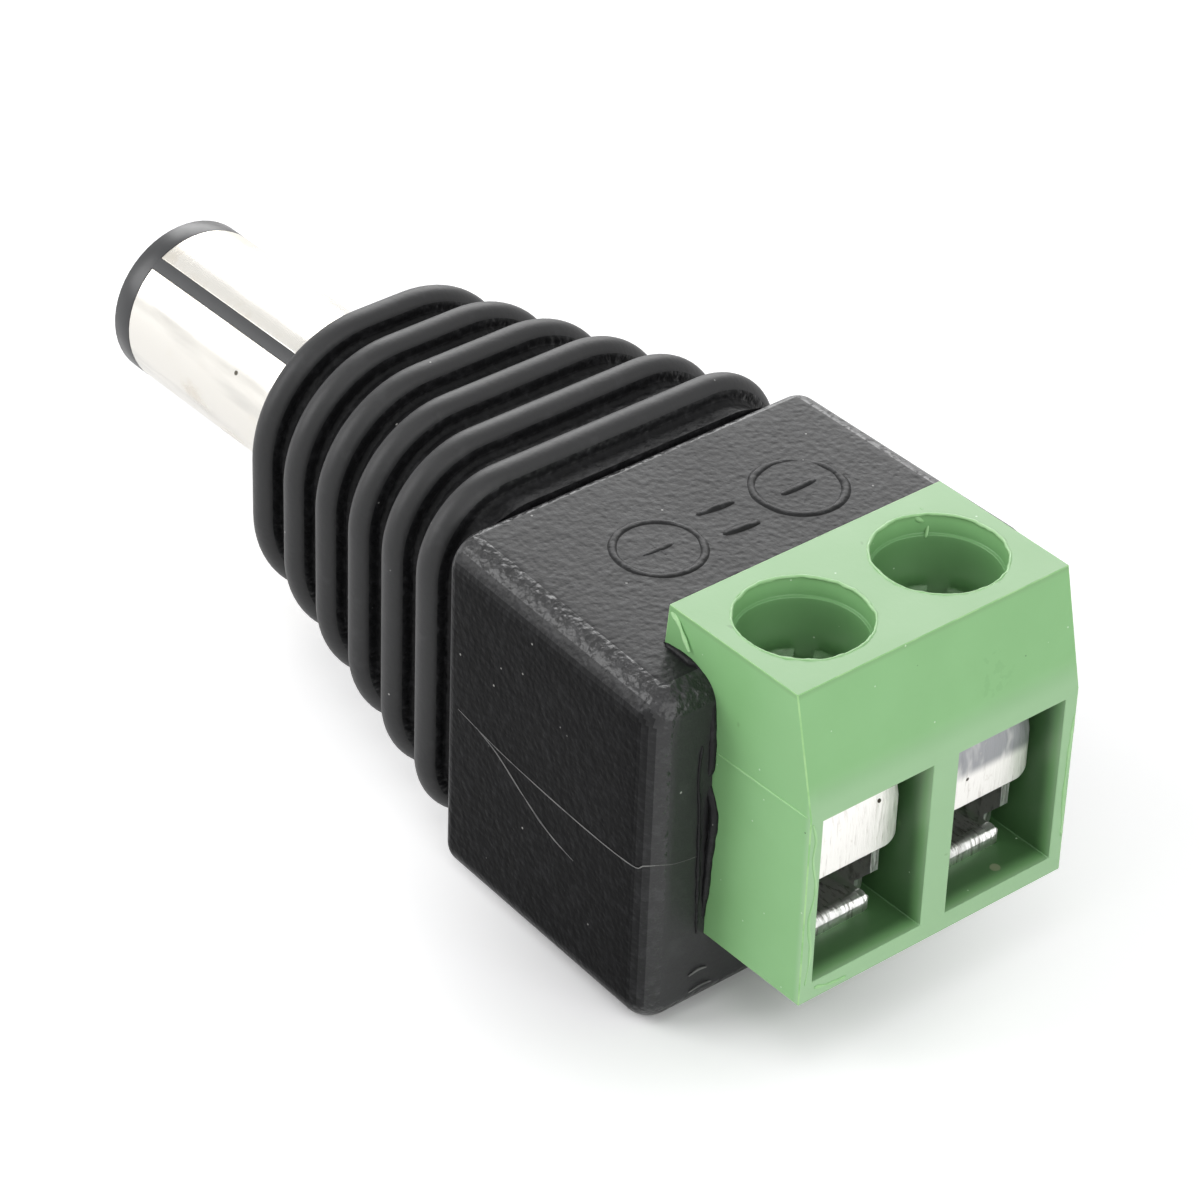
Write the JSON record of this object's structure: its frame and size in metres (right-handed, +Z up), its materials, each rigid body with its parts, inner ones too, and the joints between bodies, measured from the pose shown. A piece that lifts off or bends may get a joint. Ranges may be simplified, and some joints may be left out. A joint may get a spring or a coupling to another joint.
{
  "type": "dc barrel plug",
  "caption": "Inline DC barrel power plug: a slit metal barrel on a ribbed moulded body, with a two-pole screw terminal block at its rear.",
  "frame": {"origin": "centre of the underside of the overall box, on the surface that the plug lies on", "axes": "+X from the open front of the screw terminal to the barrel's tip, +Z up, +Y to the plus pole"},
  "size_m": [0.0364, 0.0144, 0.0131],
  "materials": {
    "black_plastic": "satin soft black PVC moulding with a fine grain on the box",
    "green_plastic": "satin mid-green moulding",
    "tinned_sheet": "bright tinned sheet",
    "nickel_sheet": "nickel-plated sheet with fine vertical rubbing marks",
    "screw_steel": "bright plated steel",
    "nickel_sleeve": "smooth nickel plate, slightly warm",
    "black_insulator": "satin black plastic",
    "contact_brass": "nickel-plated brass",
    "lug_brass": "plain brass sheet"
  },
  "bodies": {
    "plug": {"moulded_body": "black_plastic", "terminal_housing": "green_plastic", "clamp_plus": "tinned_sheet", "clamp_minus": "tinned_sheet", "barrel_sleeve": "nickel_sleeve", "barrel_insulator": "black_insulator", "centre_contact": "contact_brass", "rear_bush": "black_insulator", "sleeve_lug": "lug_brass", "centre_lug": "lug_brass"},
    "guard_plus": {"wire_guard_plus": "nickel_sheet"},
    "screw_plus": {"clamp_screw_plus": "screw_steel"},
    "guard_minus": {"wire_guard_minus": "nickel_sheet"},
    "screw_minus": {"clamp_screw_minus": "screw_steel"}
  },
  "joints": [
    {"name": "guard_slide_plus", "type": "slide", "parent": "plug", "child": "guard_plus", "axis": [0, 0, 1], "range_m": [-0.00175, 0.0005]},
    {"name": "screw_turn_plus", "type": "hinge", "parent": "guard_plus", "child": "screw_plus", "pos_m": [-0.01472, 0.00254, 0.00625], "axis": [0, 0, 1], "range_deg": [-1401, 401]},
    {"name": "guard_slide_minus", "type": "slide", "parent": "plug", "child": "guard_minus", "axis": [0, 0, 1], "range_m": [-0.00175, 0.0005]},
    {"name": "screw_turn_minus", "type": "hinge", "parent": "guard_minus", "child": "screw_minus", "pos_m": [-0.01472, -0.00254, 0.00625], "axis": [0, 0, 1], "range_deg": [-1401, 401]}
  ],
  "couplings": [
    {"joint": "screw_turn_plus", "follows": "guard_slide_plus", "rad_per_m": 13963},
    {"joint": "screw_turn_minus", "follows": "guard_slide_minus", "rad_per_m": 13963}
  ]
}
